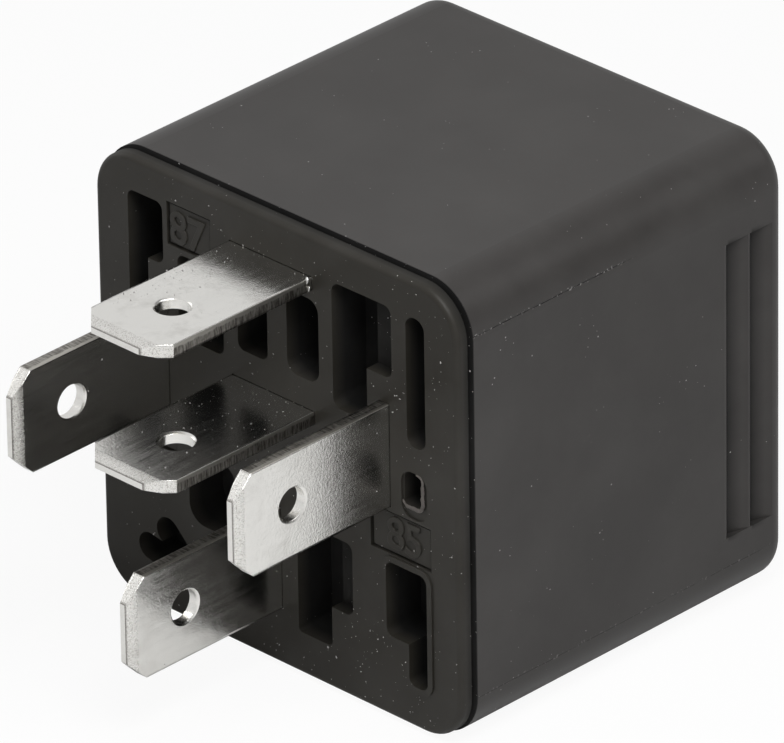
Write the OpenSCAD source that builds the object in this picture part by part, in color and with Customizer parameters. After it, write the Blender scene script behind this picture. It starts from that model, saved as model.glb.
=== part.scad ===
// Automotive plug-in relay with one changeover contact and five 6.3 mm blade terminals.
// X runs along the terminal face, Y from that face into the housing, Z up; millimetres.

/* [Housing] */
// Width of the housing across the terminal face
body_w = 28; // [24:0.5:36]
// Height of the housing across the terminal face
body_h = 28; // [25:0.5:36]
// Depth from the terminal face to the closed end
body_d = 25.8; // [24:0.2:34]
// Radius of the four long edges
corner_r = 3; // [2:0.1:4]
// Radius round the closed end
end_r = 1; // [0.4:0.1:1.6]
// Thickness of the cover's wall
wall = 1.15; // [0.8:0.05:1.8]
// Thickness of the flange that closes the cover
flange_t = 0.8; // [0.6:0.1:1.4]
// Step between the flange and the cover's outside
flange_inset = 0.12; // [0:0.02:0.4]
// Radius round the terminal face
flange_edge = 0.35; // [0.1:0.05:0.5]
// Open gap between the flange and the cover's rim
rim_gap = 0.3; // [0:0.05:0.6]
// Clearance between the base's plug and the cover
plug_gap = 0.08; // [0.02:0.02:0.3]
// Depth of the base from the terminal face to its inner floor
base_d = 4.2; // [3.8:0.1:6]

/* [Grip steps] */
// Number of grip steps on each side of the cover
grip_count = 2; // [1:1:3]
// Distance from one grip step to the next
grip_pitch = 1.9; // [1.5:0.1:3]
// Depth of a grip step at its deep edge
grip_d = 0.5; // [0.4:0.05:0.6]
// Length of a grip step's ramp
grip_ramp = 1.6; // [1:0.1:1.8]
// Length of a grip step along the housing's height
grip_h = 18.4; // [10:0.2:20]
// Distance from the closed end to the deep edge of the last step
grip_back = 2.7; // [2.6:0.05:4]

/* [Terminals] */
// Width of a blade
blade_w = 6.3; // [4.8:0.1:6.8]
// Thickness of a blade
blade_t = 0.8; // [0.6:0.05:1]
// Length of a blade in front of the terminal face
blade_l = 11.85; // [9:0.05:14]
// Length of the chamfer at each corner of a blade's tip
tip_chamfer = 1.33; // [0.6:0.01:1.6]
// Length of the bevel on each flat side of the tip
tip_bevel = 0.75; // [0.3:0.05:1.2]
// Thickness left at the end of the tip
tip_nose = 0.36; // [0.2:0.02:0.6]
// Diameter of the hole in a blade
hole_d = 2.0; // [1.2:0.1:2.6]
// Distance from a blade's tip to its hole
hole_back = 4.4; // [3.4:0.05:5.4]
// Chamfer round the hole
hole_break = 0.12; // [0:0.02:0.3]
// Offset of the terminal field from the middle of the housing
field_x = -0.25; // [-0.5:0.05:0.5]
// Distance between the two coil blades
coil_pitch = 17; // [15.6:0.1:18]
// Height of the coil blades above the middle
coil_z = 2.5; // [1:0.1:3]
// Distance of blade 87 from the top of the housing
edge_87 = 3; // [2.6:0.1:4]
// Height of the middle blade 87a above the middle
z_87a = 2.7; // [2:0.1:3.2]
// Distance of blade 30 from the bottom of the housing
edge_30 = 6.9; // [6.4:0.1:8]
// Clearance between a blade and its slot in the base
slot_gap = 0.03; // [0.02:0.01:0.1]
// Width of the inner strips that carry the fixed contacts
strip_w = 2.6; // [2:0.1:3]

/* [Base pockets] */
// Depth of the deep pockets in the terminal face
pocket_d = 2.6; // [1:0.1:3]
// Depth of the shallow steps beside two of the pockets
shelf_d = 0.9; // [0.4:0.1:1.5]
// Depth of the recessed number fields
field_d = 0.12; // [0.06:0.02:0.4]
// Width and depth of the fine groove round each number field
groove = 0.14; // [0.08:0.02:0.24]
// Height of the raised lip round the lower right pocket
lip_h = 0.1; // [0.04:0.02:0.2]
// Width of that lip
lip_w = 0.36; // [0.2:0.02:0.5]
// Distance of the outer pockets from the left and right sides of the housing
rim_x = 2.6; // [2:0.1:3.4]
// Distance of the outer pockets from the top and bottom of the housing
rim_z = 2.3; // [1.8:0.1:3.4]
// Width of the narrow slots
slot_w = 1.4; // [1:0.1:1.8]
// Radius of the pocket corners
pocket_r = 0.5; // [0.2:0.05:0.6]

/* [Magnet system] */
// Thickness of the yoke
yoke_t = 1.6; // [1.2:0.1:2]
// Width of the yoke
yoke_w = 13; // [10:0.5:14]
// Space between the yoke's long leg and the cover's wall
side_gap = 1.85; // [1.6:0.05:2.2]
// Radius of the core's shank
core_r = 3.25; // [2.5:0.05:3.6]
// Radius of the core's pole face
pole_r = 4.5; // [4:0.1:5]
// Thickness of the pole head
pole_t = 1.2; // [0.8:0.1:1.6]
// Free space between the bobbin and the shelf of the lower fixed contact
coil_room = 1.75; // [0.6:0.05:3]
// Free space between the bobbin and each coil terminal
side_room = 0.8; // [0.5:0.05:1.5]
// Wall of the bobbin's tube
bobbin_wall = 0.7; // [0.5:0.05:1]
// Thickness of the bobbin's flanges
bobbin_flange = 0.8; // [0.6:0.1:1.2]
// Height of the bobbin's flanges over the winding
flange_over = 0.6; // [0.3:0.1:0.8]
// Diameter of the coil's lead wire
wire_d = 0.3; // [0.2:0.02:0.4]

/* [Armature and contacts] */
// Thickness of the armature
arm_t = 1.4; // [1:0.1:1.8]
// Tilt of the armature while the coil is off, in degrees
open_tilt = 2.7; // [2:0.1:3.4]
// Thickness of the contact spring
leaf_t = 0.3; // [0.2:0.02:0.4]
// Width of the contact spring
leaf_w = 9; // [7:0.5:10]
// Inner radius of the contact spring's bend
leaf_bend = 0.9; // [0.7:0.05:1.1]
// Radius of a contact's head
head_r = 1.6; // [1.2:0.1:1.8]
// Thickness of a contact's head
head_t = 0.7; // [0.5:0.05:0.8]
// Clearance between contacts and stops that meet
touch_gap = 0.03; // [0.02:0.01:0.06]
// Free space above the upper fixed contact
end_gap = 0.8; // [0.4:0.1:1.2]

/* [Hidden] */
$fn = 64;
eps = 0.01;
rim_y = flange_t + rim_gap;
in_w = body_w - 2 * wall;
in_h = body_h - 2 * wall;
in_r = corner_r - wall;
z_87 = body_h / 2 - edge_87;
z_30 = -body_h / 2 + edge_30;
x_85 = field_x + coil_pitch / 2;
x_86 = field_x - coil_pitch / 2;
// Sheet metal bends: inner radius and radius of the middle line
bend_in = 0.4;
bend_r = bend_in + blade_t / 2;
// The yoke stands on the foot of terminal 30
yoke_y = base_d + blade_t;
yoke_z = -body_h / 2 + wall + side_gap;
seat_y = yoke_y + yoke_t;
coil_gap = 0.25;
spool_low = yoke_z + yoke_t + coil_gap;
neck_r = core_r - 1;
bore_gap = 0.1;
// Contact stack, from the closed end down to the pole face
contact_z = z_87 - blade_t / 2 - head_r + 0.1;
contact_v = contact_z - yoke_z;
contact_x = field_x;
shelf_low = contact_z - head_r - 0.3;
// The bobbin fills the room above the yoke and between the coil terminals
spool_r = min((shelf_low - coil_room - spool_low) / 2, coil_pitch / 2 - blade_t / 2 - side_room);
coil_r = spool_r - flange_over;
coil_cz = spool_low + spool_r;
dome_r = 4;
// Outer face of the armature with a hair's clearance, where the contact spring lies
arm_top = arm_t + 0.005;
dome_v = arm_top + leaf_t + head_t - dome_r;
dome_top = dome_v * cos(open_tilt) + contact_v * sin(open_tilt) + dome_r;
pole_y = body_d - wall - end_gap - blade_t - head_t - 2 * touch_gap - dome_top;
hinge_y = pole_y + touch_gap;
nc_face = hinge_y + dome_top + touch_gap;
no_face = hinge_y + arm_top - head_t - touch_gap;
nc_mid = nc_face + head_t + blade_t / 2;
no_mid = no_face - head_t - blade_t / 2;
arm_len = contact_v - head_r - 1.4;
leaf_gap = 0.02;
shank_r = 0.8;
shank_gap = 0.02;
rivet_r = 0.8;
rivet_head_r = 1.4;
rivet_head_t = 0.5;
leaf_rivet_x = 2.8;
leaf_rivet_y = yoke_y + 7;
arm_rivet_v = 6.5;
frame_rivet_x = field_x + 3.6;
foot_end = frame_rivet_x + 2;
foot_w = blade_w - 0.6;
// Outer edges of the pockets, and the lower edge of the fields under the coil blades
out_x = body_w / 2 - rim_x - 0.1;
out_z = body_h / 2 - rim_z;
field_low = coil_z - blade_w / 2 - 2.95;
// Inner strips of the two fixed contacts lie on either side of the middle
strip_no = field_x - 4.6;
strip_nc = x_85 - blade_t / 2 - 1.4 - strip_w;
no_strip_w = strip_w + 1.6;
shelf_no = field_x + 2.4;
shelf_nc = field_x - 2.4;
post_w = 1.4;
post_y = base_d + 5.6;
lead_y = seat_y + bobbin_flange + 1;
shoulder = 0.6;
shoulder_y = base_d + 1.4;

// ---- Helpers -------------------------------------------------------------

// Extrudes an outline drawn in X and Z along Y
module along_y(y, length) {
  translate([0, y + length, 0]) rotate([90, 0, 0]) linear_extrude(length) children();
}

// Extrudes an outline drawn in Y and Z along X
module along_x(x, length) {
  translate([x, 0, 0]) rotate([90, 0, 90]) linear_extrude(length) children();
}

// Cylinder along Y
module rod_y(r, y, length, x = 0, z = 0) {
  translate([x, y, z]) rotate([-90, 0, 0]) cylinder(h = length, r = r);
}

// Rectangle with round corners about the origin
module round_rect(w, h, r) {
  square([w - 2 * r, h], center = true);
  square([w, h - 2 * r], center = true);
  for (x = [-1, 1], z = [-1, 1])
    translate([x * (w / 2 - r), z * (h / 2 - r)]) circle(r);
}

// Round-cornered rectangle between two corners
module round_span(a, b, r) {
  translate((a + b) / 2) round_rect(b[0] - a[0], b[1] - a[1], r);
}

// Block with round long edges and a soft edge round its face at y = 0
module soft_block(w, h, depth, r, edge) {
  along_y(edge, depth - edge) round_rect(w, h, r);
  along_y(0, edge) round_rect(w - 2 * edge, h - 2 * edge, r - edge);
  for (x = [-1, 1], z = [-1, 1])
    translate([x * (w / 2 - r), edge, z * (h / 2 - r)]) rotate([90, 0, 0]) soft_corner(r, edge);
  for (z = [-1, 1])
    translate([r - w / 2, edge, z * (h / 2 - edge)]) rotate([0, 90, 0]) cylinder(h = w - 2 * r, r = edge);
  for (x = [-1, 1])
    translate([x * (w / 2 - edge), edge, r - h / 2]) cylinder(h = h - 2 * r, r = edge);
}

// Turned corner that joins two soft edges
module soft_corner(r, edge) {
  rotate_extrude() {
    square([r - edge, edge]);
    intersection() {
      translate([r - edge, 0]) circle(edge);
      translate([r - edge, 0]) square(edge);
    }
  }
}

// Points along an arc about c, from angle a to angle b
function arc(c, r, a, b) = [for (i = [0 : 12]) let (t = a + (b - a) * i / 12) c + r * [cos(t), sin(t)]];

// Flat blade along -Y with its middle plane at z = 0 and its root at y = root
module blade(root) {
  difference() {
    intersection() {
      linear_extrude(blade_t + 1, center = true)
        polygon([
          [-blade_w / 2, root], [-blade_w / 2, tip_chamfer - blade_l], [tip_chamfer - blade_w / 2, -blade_l],
          [blade_w / 2 - tip_chamfer, -blade_l], [blade_w / 2, tip_chamfer - blade_l], [blade_w / 2, root]
        ]);
      along_x(-blade_w, 2 * blade_w)
        polygon([
          [root, -blade_t / 2], [tip_bevel - blade_l, -blade_t / 2], [-blade_l, -tip_nose / 2],
          [-blade_l, tip_nose / 2], [tip_bevel - blade_l, blade_t / 2], [root, blade_t / 2]
        ]);
    }
    translate([0, hole_back - blade_l, 0]) {
      cylinder(h = blade_t + 1, d = hole_d, center = true);
      for (side = [0, 180])
        rotate([side, 0, 0]) translate([0, 0, blade_t / 2 - hole_break])
          cylinder(h = 2 * hole_break, r1 = hole_d / 2, r2 = hole_d / 2 + 2 * hole_break);
    }
  }
}

// Blade standing on edge, with its middle plane at x = 0
module upright_blade(root) {
  rotate([0, 90, 0]) blade(root);
}

// Riveted contact along +Y: head on y = 0, shank and tail behind a sheet of thickness sheet
module contact(sheet) {
  rod_y(head_r, 0, head_t);
  rod_y(shank_r, -sheet - eps, sheet + 2 * eps);
  rod_y(shank_r + 0.35, -sheet - 0.25, 0.25);
}

// Puts the armature's parts from their closed place (hinge at the origin) to their rest place
module swing() {
  translate([0, hinge_y, yoke_z]) rotate([-open_tilt, 0, 0]) children();
}

// ---- Housing -------------------------------------------------------------

// Outline in X and Y of one saw-tooth grip step: its deep edge at y = 0, the side face at x = 0
module grip_step_2d() {
  soft = 0.35;
  polygon([[eps, -eps], [0, -eps], [-grip_d, 0], [0, grip_ramp], [eps, grip_ramp]]);
  difference() {
    translate([-soft, -soft]) square(soft + eps);
    translate([-soft, -soft]) circle(soft);
  }
}

module cover() {
  color("#3a3937") difference() {
    translate([0, body_d, 0]) mirror([0, 1, 0])
      soft_block(body_w, body_h, body_d - rim_y, corner_r, end_r);
    along_y(rim_y - 1, body_d - wall - rim_y + 1) round_rect(in_w, in_h, in_r);
    for (side = [0, 1], step = [0 : grip_count - 1])
      mirror([side, 0, 0])
        translate([body_w / 2, body_d - grip_back - step * grip_pitch, -grip_h / 2])
          linear_extrude(grip_h) grip_step_2d();
  }
}

// Slot through the base for a blade whose middle is at (x, z)
module blade_slot(x, z, upright = false) {
  w = blade_w + 2 * slot_gap;
  t = blade_t + 2 * slot_gap;
  translate([x, 0, z]) rotate([0, upright ? 90 : 0, 0])
    translate([-w / 2, -eps, -t / 2]) cube([w, base_d + 2 * eps, t]);
}

// Deep moulded pockets of the terminal face
module deep_pockets() {
  along_y(-lip_h - eps, pocket_d + lip_h + eps) {
    // Stepped pocket in the upper left corner
    round_span([-out_x, out_z - 3.7], [2.7 - out_x, out_z + 0.1], pocket_r);
    round_span([-out_x, coil_z + 1.9], [1.5 - out_x, out_z - 2.1], pocket_r);
    // Pockets between blade 87 and blade 87a
    round_span([field_x - 7.25, z_87a + 1.3], [field_x - 3.75, z_87 - 1.9], pocket_r);
    round_span([field_x - 2.65, z_87a + 2.2], [field_x - 0.35, z_87 - 1.4], pocket_r);
    round_span([field_x + 1.15, z_87a + 2.2], [field_x + 3.6, z_87 - 1], pocket_r + 0.3);
    round_span([field_x + 4.65, z_87a + 1.3], [field_x + 7.25, out_z], pocket_r + 0.1);
    // Long slot beside them
    round_span([out_x - slot_w + 0.1, coil_z + 1.2], [out_x + 0.1, out_z], 0.65);
    // Pockets round blade 30
    round_span([field_x - 6.75, z_30 - 0.3], [field_x - 3.05, z_30 + 4.3], 1.2);
    round_span([field_x + 1.65, 0.5 - out_z], [field_x + 4.25, z_30 + 2.9], 0.3);
    slanted_pocket([2.55 - out_x, 2.85 - out_z], [3.7 - out_x, 1.7 - out_z], 0.9);
    slanted_pocket([1.05 - out_x, 1.4 - out_z], [2.7 - out_x, 1.1 - out_z], 0.85);
    // Access hole beside blade 85
    round_span([x_85 + 1.4, coil_z - 2.7], [x_85 + 2.8, coil_z - 0.5], 0.4);
    lipped_pocket_2d();
  }
}

// Outline of the stepped pocket in the lower right corner, made larger all round by grow
module lipped_pocket_2d(grow = 0) {
  add = [grow, grow];
  round_span([out_x - 3, 3 - out_z] - add, [out_x + 0.1, field_low - 0.45] + add, pocket_r + grow);
  round_span([out_x - slot_w + 0.1, 0.5 - out_z] - add, [out_x + 0.1, 4.7 - out_z] + add, pocket_r + grow);
}

// Pocket with round ends between two points
module slanted_pocket(a, b, r) {
  d = b - a;
  translate(a) rotate(atan2(d[1], d[0])) {
    circle(r);
    translate([0, -r]) square([norm(d), 2 * r]);
    translate([norm(d), 0]) circle(r);
  }
}

// Recessed field with a fine groove along its edge
module number_field(a, b) {
  along_y(-eps, field_d + eps) translate(a) square(b - a);
  along_y(-eps, field_d + groove + eps) difference() {
    translate(a) square(b - a);
    translate(a + [groove, groove]) square(b - a - 2 * [groove, groove]);
  }
}

// Shallow steps, and the fields that carry the terminal numbers
module shallow_recesses() {
  along_y(-eps, shelf_d + eps) {
    round_span([field_x + 6, out_z - 4.4], [field_x + 9.15, out_z], pocket_r);
    round_span([field_x + 3, z_30 - 1.6], [field_x + 5.9, z_30 + 2.9], pocket_r);
  }
  along_y(-eps, field_d + eps)
    round_span([x_85 + 1.25, coil_z - 3.3], [x_85 + 3.2, coil_z - 0.4], 0.8);
  number_field([field_x - 8, z_87 - 1.55], [field_x - blade_w / 2 - 1.5, z_87 + 1.1]);
  number_field([x_85 - 1.15, field_low], [out_x + 0.4, field_low + 2.65]);
  number_field([-out_x - 0.9, field_low], [x_86 + 0.85, field_low + 2.65]);
  number_field([field_x + 3.65, z_87a - 3.2], [field_x + 7.55, z_87a - 0.7]);
  number_field([field_x - 5.35, 0.5 - out_z], [field_x - 2.15, 3.1 - out_z]);
}

// Room in the base's inner floor for the feet of terminals 30 and 87a
module inner_recesses() {
  gap = slot_gap + 0.03;
  floor_y = base_d - blade_t - gap;
  along_y(floor_y, blade_t + gap + eps) {
    plate_x = field_x - blade_w / 2 - gap;
    low_z = z_87a - blade_t / 2 - gap;
    translate([plate_x, low_z]) square([strip_nc + strip_w + gap - plate_x, 4]);
    translate([strip_nc - gap, low_z]) square([strip_w + 2 * gap, z_87 + blade_t / 2 + gap - low_z]);
    translate([field_x, z_30 - blade_w / 2]) square([2 * bend_r, blade_w]);
  }
  along_y(base_d - blade_t / 2 - bend_r - gap, bend_r + blade_t)
    translate([field_x - blade_w / 2 - gap, z_87a]) square([blade_w + 2 * gap, bend_r]);
  rod_y(rivet_head_r + 0.2, base_d - rivet_head_t - 0.1, rivet_head_t + 0.1 + eps, frame_rivet_x, z_30);
}

module base() {
  flange_w = body_w - 2 * flange_inset;
  flange_h = body_h - 2 * flange_inset;
  color("#35332f") difference() {
    union() {
      soft_block(flange_w, flange_h, flange_t, corner_r - flange_inset, flange_edge);
      along_y(flange_t - eps, base_d - flange_t + eps)
        round_rect(in_w - 2 * plug_gap, in_h - 2 * plug_gap, in_r - plug_gap);
      along_y(-lip_h, lip_h + eps) lipped_pocket_2d(lip_w);
      // Pads that carry the yoke beside the foot of terminal 30 and above it
      translate([field_x - 5.8, base_d - eps, z_30 - 2]) cube([3.4, blade_t + eps, 4]);
      translate([field_x - 3, base_d - eps, z_30 + foot_w / 2 + 1.4]) cube([6, blade_t + eps, 2]);
    }
    for (z = [z_87, z_87a]) blade_slot(field_x, z);
    for (p = [[x_85, coil_z], [x_86, coil_z], [field_x, z_30]]) blade_slot(p[0], p[1], true);
    deep_pockets();
    shallow_recesses();
    inner_recesses();
  }
}

// ---- Terminals -----------------------------------------------------------

// Coil terminal: blade, shoulders on the base's floor and a post for the lead wire
module coil_terminal(x) {
  color("#c9c7c2") translate([x, 0, coil_z]) {
    upright_blade(base_d);
    along_x(-blade_t / 2, blade_t) {
      half = blade_w / 2 + shoulder;
      translate([base_d, -half]) square([shoulder_y - base_d, 2 * half]);
      translate([shoulder_y - eps, -post_w / 2]) square([post_y - shoulder_y + eps, post_w]);
    }
  }
}

module terminal_85() {
  coil_terminal(x_85);
}

module terminal_86() {
  coil_terminal(x_86);
}

// Terminal 30: its inner end is bent flat under the yoke and riveted to it
module terminal_30() {
  foot_y = base_d + blade_t / 2;
  turn = [field_x + bend_r, foot_y - bend_r];
  color("#c9c7c2") difference() {
    union() {
      translate([field_x, 0, z_30]) upright_blade(foot_y - bend_r);
      translate([0, 0, z_30 - foot_w / 2]) linear_extrude(foot_w)
        polygon(concat(
          [[field_x - blade_t / 2, 1]],
          arc(turn, bend_r + blade_t / 2, 180, 90),
          [[foot_end, base_d + blade_t], [foot_end, base_d]],
          arc(turn, bend_in, 90, 180),
          [[field_x + blade_t / 2, 1]]
        ));
    }
    rod_y(rivet_r + shank_gap, base_d - 1, blade_t + 2, frame_rivet_x, z_30);
  }
}

// Plate across the end of an inner strip, with the hole for its fixed contact
module contact_shelf(shelf_mid, shelf_a, shelf_b) {
  difference() {
    translate([shelf_a, shelf_mid - blade_t / 2, shelf_low])
      cube([shelf_b - shelf_a, blade_t, z_87 - bend_r - shelf_low]);
    rod_y(shank_r + shank_gap, shelf_mid - blade_t, 2 * blade_t, contact_x, contact_z);
  }
}

// Terminal 87: blade, shoulder and a straight strip up to the normally open contact
module terminal_87() {
  turn = [no_mid - bend_r, z_87 - bend_r];
  color("#c9c7c2") {
    translate([field_x, 0, z_87]) blade(base_d + 0.5);
    translate([strip_no - shoulder, base_d, z_87 - blade_t / 2])
      cube([field_x + blade_w / 2 + shoulder - strip_no, shoulder_y - base_d, blade_t]);
    difference() {
      along_x(strip_no, no_strip_w)
        polygon(concat(
          [[base_d, z_87 - blade_t / 2], [base_d, z_87 + blade_t / 2]],
          arc(turn, bend_r + blade_t / 2, 90, 0),
          [[no_mid + blade_t / 2, shelf_low], [no_mid - blade_t / 2, shelf_low]],
          arc(turn, bend_in, 0, 90)
        ));
      rod_y(shank_r + shank_gap, no_mid - blade_t, 2 * blade_t, contact_x, contact_z);
    }
    contact_shelf(no_mid, strip_no, shelf_no);
  }
}

// Terminal 87a: blade, plate in the base's floor and a long strip up to the normally closed contact
module terminal_87a() {
  plate_y = base_d - blade_t / 2;
  plate_x = field_x - blade_w / 2;
  low_z = z_87a + bend_r;
  strip_end = strip_nc + strip_w;
  foot = [plate_y - bend_r, low_z];
  turn = [plate_y + bend_r, z_87 - bend_r];
  over = [nc_mid - bend_r, z_87 - bend_r];
  color("#c9c7c2") {
    translate([field_x, 0, z_87a]) blade(plate_y - bend_r);
    along_x(plate_x, blade_w)
      polygon(concat(
        [[1, z_87a + blade_t / 2], [1, z_87a - blade_t / 2]],
        arc(foot, bend_r + blade_t / 2, -90, 0),
        [[base_d, low_z + 2.5], [base_d - blade_t, low_z + 2.5]],
        arc(foot, bend_in, 0, -90)
      ));
    translate([plate_x, base_d - blade_t, low_z]) cube([strip_end - plate_x, blade_t, 2.5]);
    along_x(strip_nc, strip_w)
      polygon(concat(
        [[base_d, low_z], [base_d - blade_t, low_z]],
        arc(turn, bend_r + blade_t / 2, 180, 90),
        arc(over, bend_r + blade_t / 2, 90, 0),
        [[nc_mid + blade_t / 2, shelf_low], [nc_mid - blade_t / 2, shelf_low]],
        arc(over, bend_in, 0, 90),
        arc(turn, bend_in, 90, 180)
      ));
    contact_shelf(nc_mid, shelf_nc, strip_end);
  }
}

module fixed_contact_87() {
  color("#d8d6d0") translate([contact_x, no_mid + blade_t / 2, contact_z]) contact(blade_t);
}

module fixed_contact_87a() {
  color("#d8d6d0") translate([contact_x, nc_mid - blade_t / 2, contact_z]) mirror([0, 1, 0]) contact(blade_t);
}

// ---- Magnet system -------------------------------------------------------

// Bent yoke: short leg under the coil, long leg beside it
module yoke() {
  leg = coil_cz + pole_r + 0.4 - yoke_z;
  color("#8f9092") difference() {
    along_x(field_x - yoke_w / 2, yoke_w) translate([yoke_y, yoke_z])
      polygon(concat(
        [[0, leg]],
        arc([yoke_t, yoke_t], yoke_t, 180, 270),
        [[pole_y - yoke_y, 0], [pole_y - yoke_y, yoke_t], [yoke_t, yoke_t], [yoke_t, leg]]
      ));
    rod_y(neck_r + shank_gap, yoke_y - 1, yoke_t + 2, field_x, coil_cz);
    rod_y(rivet_r + shank_gap, yoke_y - 1, yoke_t + 2, frame_rivet_x, z_30);
    for (side = [-1, 1])
      translate([field_x + side * leaf_rivet_x, leaf_rivet_y, yoke_z - 1])
        cylinder(h = yoke_t + 2, r = rivet_r + shank_gap);
  }
}

module core() {
  color("#a3a5a8") {
    rod_y(neck_r, yoke_y, yoke_t + eps, field_x, coil_cz);
    rod_y(core_r, seat_y, pole_y - seat_y - pole_t + eps, field_x, coil_cz);
    rod_y(pole_r, pole_y - pole_t, pole_t, field_x, coil_cz);
  }
}

module bobbin() {
  top = pole_y - pole_t;
  color("#2f3b35") translate([field_x, seat_y, coil_cz]) rotate([-90, 0, 0]) difference() {
    union() {
      cylinder(h = top - seat_y, r = core_r + bore_gap + bobbin_wall);
      for (y = [0, top - seat_y - bobbin_flange])
        translate([0, 0, y]) cylinder(h = bobbin_flange, r = spool_r);
    }
    translate([0, 0, -1]) cylinder(h = top - seat_y + 2, r = core_r + bore_gap);
  }
}

module coil_winding() {
  low = seat_y + bobbin_flange + 0.05;
  high = pole_y - pole_t - bobbin_flange - 0.05;
  color("#9c5a2c") difference() {
    rod_y(coil_r, low, high - low, field_x, coil_cz);
    rod_y(core_r + bore_gap + bobbin_wall + 0.05, low - 1, high - low + 2, field_x, coil_cz);
  }
}

// Lead wire from the winding to a coil terminal, wrapped three times round its post
module coil_lead(x, side) {
  ring_r = norm([blade_t, post_w]) / 2 + 0.02 + wire_d / 2;
  wire_z = coil_z - ring_r;
  wire_low = max(0, abs(wire_z - coil_cz) - wire_d / 2);
  reach = abs(x - field_x) - sqrt(pow(coil_r, 2) - pow(wire_low, 2)) - 0.03;
  color("#b4662f") translate([x, lead_y, coil_z]) {
    rotate([-90, 0, 0]) rotate_extrude() {
      translate([ring_r - wire_d / 2, -wire_d]) square([wire_d, 2 * wire_d]);
      for (end = [-1, 1]) translate([ring_r, end * wire_d]) circle(wire_d / 2);
    }
    translate([0, 0, -ring_r]) rotate([0, -90 * side, 0]) cylinder(h = reach, d = wire_d * 0.9);
  }
}

module coil_lead_85() {
  coil_lead(x_85, 1);
}

module coil_lead_86() {
  coil_lead(x_86, -1);
}

// Rivet that joins the foot of terminal 30 to the yoke
module frame_rivet() {
  color("#b9bbbd") {
    rod_y(rivet_head_r, base_d - rivet_head_t, rivet_head_t, frame_rivet_x, z_30);
    rod_y(rivet_r, base_d - eps, seat_y - base_d + eps, frame_rivet_x, z_30);
  }
}

// Rivet that holds the contact spring to the yoke's long leg
module yoke_rivet(side) {
  color("#b9bbbd") translate([field_x + side * leaf_rivet_x, leaf_rivet_y, yoke_z - leaf_gap - leaf_t]) {
    translate([0, 0, -rivet_head_t]) cylinder(h = rivet_head_t, r = rivet_head_r);
    translate([0, 0, -eps]) cylinder(h = leaf_gap + leaf_t + yoke_t, r = rivet_r);
  }
}

module yoke_rivet_left() {
  yoke_rivet(-1);
}

module yoke_rivet_right() {
  yoke_rivet(1);
}

// ---- Armature ------------------------------------------------------------

// Hinged plate; its closed place has the pole face under it and the hinge edge at the origin
module armature() {
  color("#8f9092") swing() difference() {
    along_x(field_x - yoke_w / 2, yoke_w)
      polygon([[0, 0], [0, arm_len], [arm_t, arm_len], [arm_t, 1]]);
    for (side = [-1, 1])
      rod_y(rivet_r + shank_gap, -1, arm_t + 2, field_x + side * leaf_rivet_x, arm_rivet_v);
  }
}

// Place in Y and Z of a point (u, v) of the armature after its swing
function swung(u, v) = [
  hinge_y + u * cos(open_tilt) + v * sin(open_tilt),
  yoke_z - u * sin(open_tilt) + v * cos(open_tilt)
];

// Bent leaf spring: riveted to the yoke, round the hinge, along the armature to the moving contact
module contact_spring() {
  bend_v = leaf_bend - leaf_gap;
  bend_u = (arm_top - leaf_bend + bend_v * sin(open_tilt)) / cos(open_tilt);
  bend = [hinge_y + bend_u, yoke_z + bend_v];
  low_z = yoke_z - leaf_gap - leaf_t;
  leg_y = leaf_rivet_y - rivet_head_r - 0.6;
  window = leaf_w / 2 - 2.4;
  nose_w = 2 * head_r + 0.6;
  leaf_v = arm_len - 1.5;
  nose_v = contact_v + head_r + 0.2;
  back = arm_top + leaf_t;
  color("#c08a4a") difference() {
    union() {
      along_x(field_x - leaf_w / 2, leaf_w)
        polygon(concat(
          [[leg_y, low_z + leaf_t], [leg_y, low_z]],
          arc(bend, leaf_bend + leaf_t, -90, -open_tilt),
          [swung(back, leaf_v), swung(arm_top, leaf_v)],
          arc(bend, leaf_bend, -open_tilt, -90)
        ));
      along_x(contact_x - nose_w / 2, nose_w)
        polygon([swung(arm_top, leaf_v - 2), swung(back, leaf_v - 2), swung(back, nose_v), swung(arm_top, nose_v)]);
    }
    translate([field_x - window, hinge_y - 3, yoke_z - 2]) cube([2 * window, 6, 4]);
    for (side = [-1, 1]) {
      translate([field_x + side * leaf_rivet_x, leaf_rivet_y, yoke_z - 2])
        cylinder(h = 3, r = rivet_r + shank_gap);
      swing() rod_y(rivet_r + shank_gap, 0, 4, field_x + side * leaf_rivet_x, arm_rivet_v);
    }
    swing() rod_y(shank_r + shank_gap, 0, 4, contact_x, contact_v);
  }
}

// Moving contact: a domed head on each side of the spring
module moving_contact() {
  color("#d8d6d0") swing() translate([contact_x, arm_top + leaf_t / 2, contact_v]) {
    rod_y(shank_r, -leaf_t / 2 - eps, leaf_t + 2 * eps);
    for (side = [-90, 90])
      rotate([side, 0, 0]) rotate_extrude() intersection() {
        translate([0, leaf_t / 2]) square([head_r, head_t]);
        translate([0, leaf_t / 2 + head_t - dome_r]) circle(dome_r);
      }
  }
}

module armature_rivet(side) {
  color("#b9bbbd") swing() translate([field_x + side * leaf_rivet_x, 0, arm_rivet_v]) {
    rod_y(rivet_r, 0.05, arm_top + leaf_t);
    rod_y(rivet_head_r, arm_top + leaf_t, rivet_head_t);
  }
}

module armature_rivet_left() {
  armature_rivet(-1);
}

module armature_rivet_right() {
  armature_rivet(1);
}

// ---- Choice of node ------------------------------------------------------

cover();
base();
terminal_30();
terminal_85();
terminal_86();
terminal_87();
terminal_87a();
yoke();
core();
bobbin();
coil_winding();
coil_lead_85();
coil_lead_86();
frame_rivet();
fixed_contact_87();
fixed_contact_87a();
yoke_rivet_left();
yoke_rivet_right();
armature();
contact_spring();
moving_contact();
armature_rivet_left();
armature_rivet_right();
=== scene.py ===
import math
import random

import bmesh
import bpy
from mathutils import Euler, Matrix, Vector


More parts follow.
